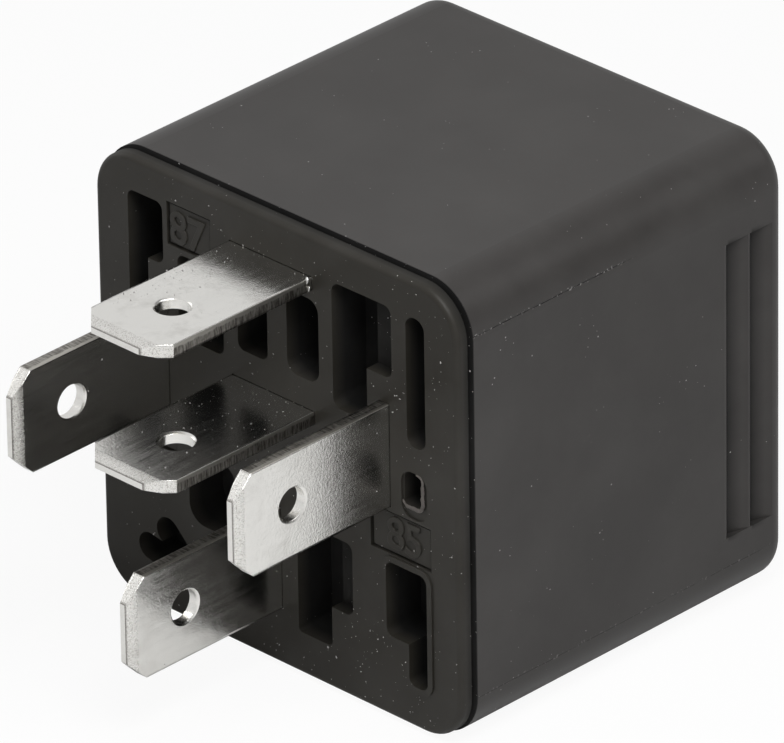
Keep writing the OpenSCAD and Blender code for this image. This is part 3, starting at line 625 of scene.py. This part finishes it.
# One closed former with the outer layer of turns wound on it, made along z
def makeWindingTree():
    tree, gin, gout = geoTree("coilTurns", [
        ("Radius", floatSocket, 6e-3), ("Length", floatSocket, 1e-2), ("Wire", floatSocket, 3e-4),
        ("Sides", "NodeSocketInt", 6), ("Points Per Turn", "NodeSocketInt", 28), ("Material", "NodeSocketMaterial", None)])
    wire = gin.outputs["Wire"]
    path = mathNode(tree, "SUBTRACT", gin.outputs["Radius"], mathNode(tree, "MULTIPLY", wire, 0.5))
    rise = mathNode(tree, "SUBTRACT", gin.outputs["Length"], mathNode(tree, "MULTIPLY", wire, 1.04))
    turns = mathNode(tree, "FLOOR", mathNode(tree, "DIVIDE", rise, mathNode(tree, "MULTIPLY", wire, 1.03)))
    spiral = addNode(tree, "GeometryNodeCurveSpiral", {
        "Resolution": gin.outputs["Points Per Turn"], "Rotations": turns, "Start Radius": path, "End Radius": path, "Height": rise})
    profile = addNode(tree, "GeometryNodeCurvePrimitiveCircle", {"Resolution": gin.outputs["Sides"], "Radius": mathNode(tree, "MULTIPLY", wire, 0.5)})
    turned = addNode(tree, "GeometryNodeCurveToMesh", {"Curve": spiral.outputs[0], "Profile Curve": profile.outputs[0], "Fill Caps": True})
    lift = addNode(tree, "ShaderNodeCombineXYZ", {2: mathNode(tree, "MULTIPLY", rise, -0.5)})
    moved = addNode(tree, "GeometryNodeTransform", {"Geometry": turned.outputs[0], "Translation": lift.outputs[0]})
    under = addNode(tree, "GeometryNodeMeshCylinder", {"Vertices": 48, "Radius": path, "Depth": gin.outputs["Length"]})
    both = tree.nodes.new("GeometryNodeJoinGeometry")
    tree.links.new(moved.outputs[0], both.inputs[0])
    tree.links.new(under.outputs["Mesh"], both.inputs[0])
    real = addNode(tree, "GeometryNodeRealizeInstances", {"Geometry": both.outputs[0]})
    done = addNode(tree, "GeometryNodeSetMaterial", {"Geometry": real.outputs[0], "Material": gin.outputs["Material"]})
    tree.links.new(done.outputs[0], gout.inputs[0])
    return tree


def windCoil(v):
    low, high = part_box("coil_winding")
    size = high - low
    axis = min(range(3), key=lambda i: abs(size[i] - size[(i + 1) % 3]) < 1e-5 or abs(size[i] - size[(i + 2) % 3]) < 1e-5)
    radius = size[(axis + 1) % 3] / 2
    seat = meshObject("temp", bmesh.new(), copperEnamel)
    made = growOn(seat, makeWindingTree(), {
        "Radius": radius, "Length": size[axis], "Wire": v["wire"], "Sides": v["sides"],
        "Points Per Turn": v["pointsPerTurn"], "Material": copperEnamel}, "wound_coil")
    along = Vector([1.0 if i == axis else 0.0 for i in range(3)])
    made.data.transform(Matrix.Translation((low + high) / 2) @ along.to_track_quat("Z", "Y").to_matrix().to_4x4())
    made.data.materials.clear()
    made.data.materials.append(copperEnamel)
    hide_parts("coil_winding")
    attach(made, "housing")


windCoil(windingValues)
print("coil wound")


# ---------- dust crumbs ----------

dustPlaces = {  # middle in x and z, and reach, in millimetres on the terminal face
    "above the blade root": (-3.9, 11.6, 1.6),
    "beside the blade root": (1.6, 11.9, 1.5),
    "blade root corner": (2.9, 11.0, 0.8),
    "top right": (8.0, 12.4, 1.6),
    "slot side": (12.0, 11.0, 1.5),
    "pocket step": (-9.3, 7.6, 0.7),
    "field side": (12.6, -1.6, 1.1),
    "pocket end": (10.9, -11.5, 0.8),
    "pocket corner": (8.3, -9.1, 0.7),
    "pocket side": (9.1, 7.5, 0.7),
    "right middle": (12.2, 3.5, 1.6),
    "lower edge": (4.5, -12.4, 2.2),
    "left edge": (-13.0, 9.5, 1.2),
}
dustValues = {
    "faceDensity": 0.9e6, "clusterDensity": 9.0e6, "bladeDensity": 2.6e6, "gapDensity": 1.6e6,
    "smallest": 0.017 * mm, "largest": 0.068 * mm, "seed": 7,
}


def makeDustTree():
    tree, gin, gout = geoTree("dustCrumbs", [
        ("Density", floatSocket, 1e5), ("Cluster Density", floatSocket, 0.0), ("Smallest", floatSocket, 1e-5),
        ("Largest", floatSocket, 5e-5), ("Seed", "NodeSocketInt", 1), ("Clear Y", floatSocket, -1.0), ("Full Y", floatSocket, -0.9), ("Material", "NodeSocketMaterial", None)])
    place = addNode(tree, "GeometryNodeInputPosition").outputs[0]
    parts = addNode(tree, "ShaderNodeSeparateXYZ", {0: place})
    flat = addNode(tree, "ShaderNodeCombineXYZ", {0: parts.outputs[0], 1: 0.0, 2: parts.outputs[2]}).outputs[0]
    total = None
    for x, z, reach in dustPlaces.values():
        away = addNode(tree, "ShaderNodeVectorMath", {0: flat, 1: (x * mm, 0, z * mm)}, operation="DISTANCE").outputs["Value"]
        near = spread(tree, away, 0.0, reach * mm, 1.0, 0.0)
        near = mathNode(tree, "POWER", near, 1.6)
        total = near if total is None else mathNode(tree, "MAXIMUM", total, near)
    noise = addNode(tree, "ShaderNodeTexNoise", {"Vector": place, "Scale": 420.0, "Detail": 3.0})
    patch = spread(tree, noise.outputs[0], 0.42, 0.72, 0.15, 2.2)
    density = mathNode(tree, "ADD", mathNode(tree, "MULTIPLY", gin.outputs["Density"], patch),
                       mathNode(tree, "MULTIPLY", gin.outputs["Cluster Density"], total))
    nearFull = addNode(tree, "ShaderNodeMapRange", {0: parts.outputs[1], 1: gin.outputs["Clear Y"], 2: gin.outputs["Full Y"], 3: 0.03, 4: 1.0})
    density = mathNode(tree, "MULTIPLY", density, nearFull.outputs[0])
    points = addNode(tree, "GeometryNodeDistributePointsOnFaces",
                     {"Mesh": gin.outputs["Geometry"], "Density": density, "Seed": gin.outputs["Seed"]})
    grain = addNode(tree, "GeometryNodeMeshIcoSphere", {"Radius": 1.0, "Subdivisions": 1})
    chance = addNode(tree, "FunctionNodeRandomValue", data_type="FLOAT")
    tree.links.new(gin.outputs["Seed"], chance.inputs["Seed"])
    few = mathNode(tree, "POWER", chance.outputs[1], 2.4)  # many fine grains, few large ones
    size = addNode(tree, "ShaderNodeMapRange", {0: few, 3: gin.outputs["Smallest"], 4: gin.outputs["Largest"]})
    squeeze = addNode(tree, "FunctionNodeRandomValue", {0: (0.4, 0.4, 0.35), 1: (1.5, 1.1, 0.8)}, data_type="FLOAT_VECTOR")
    scale = addNode(tree, "ShaderNodeVectorMath", {0: squeeze.outputs[0]}, operation="SCALE")
    tree.links.new(size.outputs[0], scale.inputs["Scale"])
    turn = addNode(tree, "FunctionNodeRandomValue", {0: (0, 0, 0), 1: (6.28, 6.28, 6.28)}, data_type="FLOAT_VECTOR")
    placed = addNode(tree, "GeometryNodeInstanceOnPoints",
                     {"Points": points.outputs["Points"], "Instance": grain.outputs["Mesh"],
                      "Rotation": turn.outputs[0], "Scale": scale.outputs[0]})
    real = addNode(tree, "GeometryNodeRealizeInstances", {"Geometry": placed.outputs[0]})
    done = addNode(tree, "GeometryNodeSetMaterial", {"Geometry": real.outputs[0], "Material": gin.outputs["Material"]})
    tree.links.new(done.outputs[0], gout.inputs[0])
    return tree


def dustMaterial():
    mat, tree, shader, coords = newMaterial("paleDust")
    noise = addNode(tree, "ShaderNodeTexNoise", {"Vector": coords.outputs["Object"], "Scale": 3000.0})
    tone = mixColour(tree, spread(tree, noise.outputs[0], 0.35, 0.65), grey(0.12, 0.03), grey(0.50, 0.02))
    tree.links.new(tone, shader.inputs["Base Color"])
    shader.inputs["Roughness"].default_value = 0.8
    return mat


dustTree, paleDust = makeDustTree(), dustMaterial()


# Only the faces of a solid that look one way and lie within a range carry dust
def faceCopy(nodeName, normal, keep):
    bm = mergedCopy(nodeName)
    normal = Vector(normal)
    gone = [f for f in bm.faces if f.normal.dot(normal) < 0.98 or not keep(f.calc_center_median())]
    bmesh.ops.delete(bm, geom=gone, context="FACES")
    return meshObject("temp", bm, paleDust)


def dustOn(name, nodeName, normal, keep, density, cluster, seed, clearY=-1.0, fullY=-0.9):
    made = growOn(faceCopy(nodeName, normal, keep), dustTree, {
        "Density": density, "Cluster Density": cluster, "Smallest": dustValues["smallest"],
        "Largest": dustValues["largest"], "Seed": seed, "Clear Y": clearY, "Full Y": fullY, "Material": paleDust}, name)
    for vert in made.data.vertices:  # nothing stands out of the housing's own box
        vert.co = [min(max(c, low + 0.002 * mm), high - 0.002 * mm) for c, low, high in zip(vert.co, *cadBox)]
    made.data.materials.clear()
    made.data.materials.append(paleDust)
    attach(made, "housing")
    print(name, len(made.data.polygons) // 20, "crumbs")


d = dustValues
dustOn("dust_face", "base", (0, -1, 0), lambda c: c.y < 1.0 * mm, d["faceDensity"], d["clusterDensity"], d["seed"])
dustOn("dust_gap", "cover", (0, -1, 0), lambda c: c.y < 1.3 * mm, d["gapDensity"], 0.0, d["seed"] + 1)
dustOn("dust_blade_87", "terminal_87", (0, 0, 1), lambda c: c.y < 0 and c.z > z87, d["bladeDensity"] * 4, 0.0, d["seed"] + 2, -4.2 * mm, -2.2 * mm)
dustOn("dust_blade_87a", "terminal_87a", (0, 0, 1), lambda c: c.y < 0 and c.z > z87a, d["bladeDensity"] * 1.2, 0.0, d["seed"] + 3, -12 * mm, -6 * mm)
for index, name in enumerate(("terminal_86", "terminal_30", "terminal_85")):
    dustOn("dust_blade_" + name[9:], name, (1, 0, 0), lambda c: c.y < 0, d["bladeDensity"] * 0.35, 0.0, d["seed"] + 4 + index, -9 * mm, -3 * mm)
dustOn("dust_back", "cover", (0, 1, 0), lambda c: 20 * mm < c.y < 24 * mm, d["faceDensity"], 0.0, d["seed"] + 8)


# ---------- ragged beads: crushed hole rim, burrs at the root of blade 87 -----

rimValues = {"reach": 0.15 * mm, "height": 0.06 * mm, "seed": 3}
beadValues = {"size": 0.13 * mm, "seed": 5}


# A lumpy closed tube along points, flattened in y, with a half width for each point
def raggedTube(name, points, widths, flatness, material, seed, sides=8):
    wander = random.Random(seed)
    bm = bmesh.new()
    rings = []
    for i, p in enumerate(points):
        ahead = points[min(i + 1, len(points) - 1)] - points[max(i - 1, 0)]
        side = Vector((0, 1, 0)).cross(ahead).normalized()
        up = ahead.cross(side).normalized()
        ring = []
        for k in range(sides):
            a = 2 * math.pi * k / sides
            w = widths[i] * wander.uniform(0.78, 1.18)
            ring.append(bm.verts.new(p + side * math.cos(a) * w + up * math.sin(a) * w * flatness))
        rings.append(ring)
    for one, two in zip(rings, rings[1:]):
        for k in range(sides):
            bm.faces.new((one[k], one[(k + 1) % sides], two[(k + 1) % sides], two[k]))
    bm.faces.new(rings[0][::-1])
    bm.faces.new(rings[-1])
    bmesh.ops.recalc_face_normals(bm, faces=bm.faces)
    made = meshObject(name, bm, material)
    soft = made.modifiers.new("soften", "SUBSURF")
    soft.levels = soft.render_levels = 1
    return evaluatedCopy(made, name)


def crushedPlastic():
    mat, tree, shader, coords = newMaterial("crushedPlastic")
    mould = placeGroup(tree, mouldGroup, {"Vector": coords.outputs["Object"]})
    tone = mixColour(tree, spread(tree, mould.outputs["Tone"], 0.35, 0.65), (0.025, 0.022, 0.020, 1), (0.13, 0.115, 0.105, 1))
    tree.links.new(tone, shader.inputs["Base Color"])
    shader.inputs["Roughness"].default_value = 0.62
    bump = addNode(tree, "ShaderNodeBump", {"Strength": 1.0, "Distance": 1.0, "Height": mathNode(tree, "MULTIPLY", mould.outputs["Height"], 0.006 * mm)})
    tree.links.new(bump.outputs[0], shader.inputs["Normal"])
    return mat


def holeRim(v):
    wander = random.Random(v["seed"])
    left, right, low, high = 9.62 * mm, 11.12 * mm, -0.12 * mm, 2.05 * mm
    radius = 0.42 * mm
    corners = [((right - radius, high - radius), 100, 0), ((right - radius, low + radius), 0, -90), ((left + radius, low + radius), -90, -165)]
    points = []
    for (cx, cz), start, end in corners:
        for i in range(9):
            a = math.radians(start + (end - start) * i / 8)
            points.append(Vector((cx + radius * math.cos(a), 0.0, cz + radius * math.sin(a))))
    path = [points[0]]
    for p in points[1:]:
        steps = max(1, int((p - path[-1]).length / (0.11 * mm)))
        path += [path[-1].lerp(p, (i + 1) / steps) for i in range(steps)]
    count = len(path)
    widths = [v["reach"] * (0.25 + 0.75 * math.sin(math.pi * (i + 0.5) / count) ** 0.5) * wander.uniform(0.6, 1.25) for i in range(count)]
    path = [p + Vector((wander.uniform(-1, 1), 0, wander.uniform(-1, 1))) * 0.03 * mm for p in path]
    rim = raggedTube("hole_rim", path, widths, v["height"] / v["reach"], crushedMaterial, v["seed"])
    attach(rim, "housing")


def rootBurrs(v):
    low, high = bladeBox("terminal_87")
    wander = random.Random(v["seed"])
    spots = [(high.x + 0.02 * mm, -0.45 * mm, high.z - 0.05 * mm, 1.0), (high.x - 0.05 * mm, -0.25 * mm, low.z + 0.12 * mm, 0.8)]
    for index, (x, y, z, size) in enumerate(spots):
        middle = Vector((x, y, z))
        path, widths = [], []
        for i in range(9):
            t = i / 8
            bend = math.radians(-30 + 150 * t)
            path.append(middle + Vector((0.16 * math.cos(bend), 0.22 * (t - 0.5), 0.20 * math.sin(bend))) * mm * size)
            widths.append(v["size"] * size * max(0.25, math.sin(math.pi * (t * 0.9 + 0.05))) * wander.uniform(0.8, 1.1))
        bead = raggedTube("burr_87_%d" % index, path, widths, 0.8, rivetSteel, v["seed"] + index)
        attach(bead, "housing")


crushedMaterial = crushedPlastic()
holeRim(rimValues)
rootBurrs(beadValues)
print("rim and burrs made")


# ---------- studio ----------

studioValues = {
    "ambient": 0.25,
    "floorColour": 0.86,
    "seenFloor": 0.93,
    "mirroredFloor": 0.50,
    "reflectedShadowInner": 18 * mm,
    "reflectedShadowOuter": 75 * mm,
    "skyGloss": 0.80,
    "gapGloss": 0.05,
    "gapToward": (0.50, 0.62, 0.60),
    "lamps": {
        "key": {"place": (0.36, 0.22, 0.50), "size": (0.40, 0.40), "power": 0.95},
        "nearFront": {"place": (0.060, -0.030, 0.110), "size": (0.06, 0.06), "power": 0.13},
        "left": {"place": (-0.55, -0.10, 0.22), "size": (0.40, 0.35), "power": 0.5},
    },
}


def makeStudio(v):
    bpy.ops.mesh.primitive_plane_add(size=3)
    floor = bpy.context.object
    floor.name = "studioFloor"
    floor.data.transform(Matrix.Translation((0, 0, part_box("cover")[0].z - 0.02 * mm)))
    mat = bpy.data.materials.new("studioPaper")
    mat.use_nodes = True
    tree = mat.node_tree
    tree.nodes.clear()
    out = tree.nodes.new("ShaderNodeOutputMaterial")
    paper = addNode(tree, "ShaderNodeBsdfDiffuse", {"Color": grey(v["floorColour"])})
    glow = addNode(tree, "ShaderNodeEmission", {"Color": grey(1.0), "Strength": 1.0})
    path = tree.nodes.new("ShaderNodeLightPath")
    mirrored = mathNode(tree, "MAXIMUM", path.outputs["Is Glossy Ray"], path.outputs["Is Transmission Ray"])
    floorCoords = tree.nodes.new("ShaderNodeTexCoord")
    away = addNode(tree, "ShaderNodeVectorMath", {0: floorCoords.outputs["Object"], 1: (0, 12 * mm, cadBox[0].z)}, operation="DISTANCE")
    clear = spread(tree, away.outputs["Value"], v["reflectedShadowInner"], v["reflectedShadowOuter"], 0.0, v["mirroredFloor"])  # painted shadow: close to the housing, reflections see less of the white glow and more of the lit paper
    seen = mathNode(tree, "MAXIMUM", mathNode(tree, "MULTIPLY", path.outputs["Is Camera Ray"], v["seenFloor"]),
                    mathNode(tree, "MULTIPLY", mirrored, clear))
    mix = addNode(tree, "ShaderNodeMixShader", {0: seen, 1: paper.outputs[0], 2: glow.outputs[0]})
    tree.links.new(mix.outputs[0], out.inputs[0])
    floor.data.materials.append(mat)

    world = bpy.data.worlds.new("studioWorld")
    scene.world = world
    world.use_nodes = True
    tree = world.node_tree
    tree.nodes.clear()
    out = tree.nodes.new("ShaderNodeOutputWorld")
    path = tree.nodes.new("ShaderNodeLightPath")
    coords = tree.nodes.new("ShaderNodeTexCoord")
    toGap = addNode(tree, "ShaderNodeVectorMath", {0: coords.outputs["Generated"], 1: Vector(v["gapToward"]).normalized()}, operation="DOT_PRODUCT")
    gloss = spread(tree, toGap.outputs["Value"], 0.72, 0.94, v["skyGloss"], v["gapGloss"])  # a dark gap between the soft boxes
    seen = mathNode(tree, "MAXIMUM", path.outputs["Is Camera Ray"], path.outputs["Is Transmission Ray"])
    seen = mathNode(tree, "MAXIMUM", seen, mathNode(tree, "MULTIPLY", path.outputs["Is Glossy Ray"], gloss))
    strength = mathNode(tree, "MAXIMUM", seen, v["ambient"])
    sky = addNode(tree, "ShaderNodeBackground", {"Color": grey(1.0), "Strength": strength})
    tree.links.new(sky.outputs[0], out.inputs[0])

    for name, lamp in v["lamps"].items():
        data = bpy.data.lights.new(name, "AREA")
        data.shape = "RECTANGLE"
        data.size, data.size_y = lamp["size"]
        data.energy = lamp["power"]
        obj = bpy.data.objects.new(name, data)
        obj.location = lamp["place"]
        obj.rotation_euler = (-Vector(lamp["place"])).to_track_quat("-Z", "Y").to_euler()
        scene.collection.objects.link(obj)


makeStudio(studioValues)
scene.view_settings.view_transform = "Standard"
print("studio made")
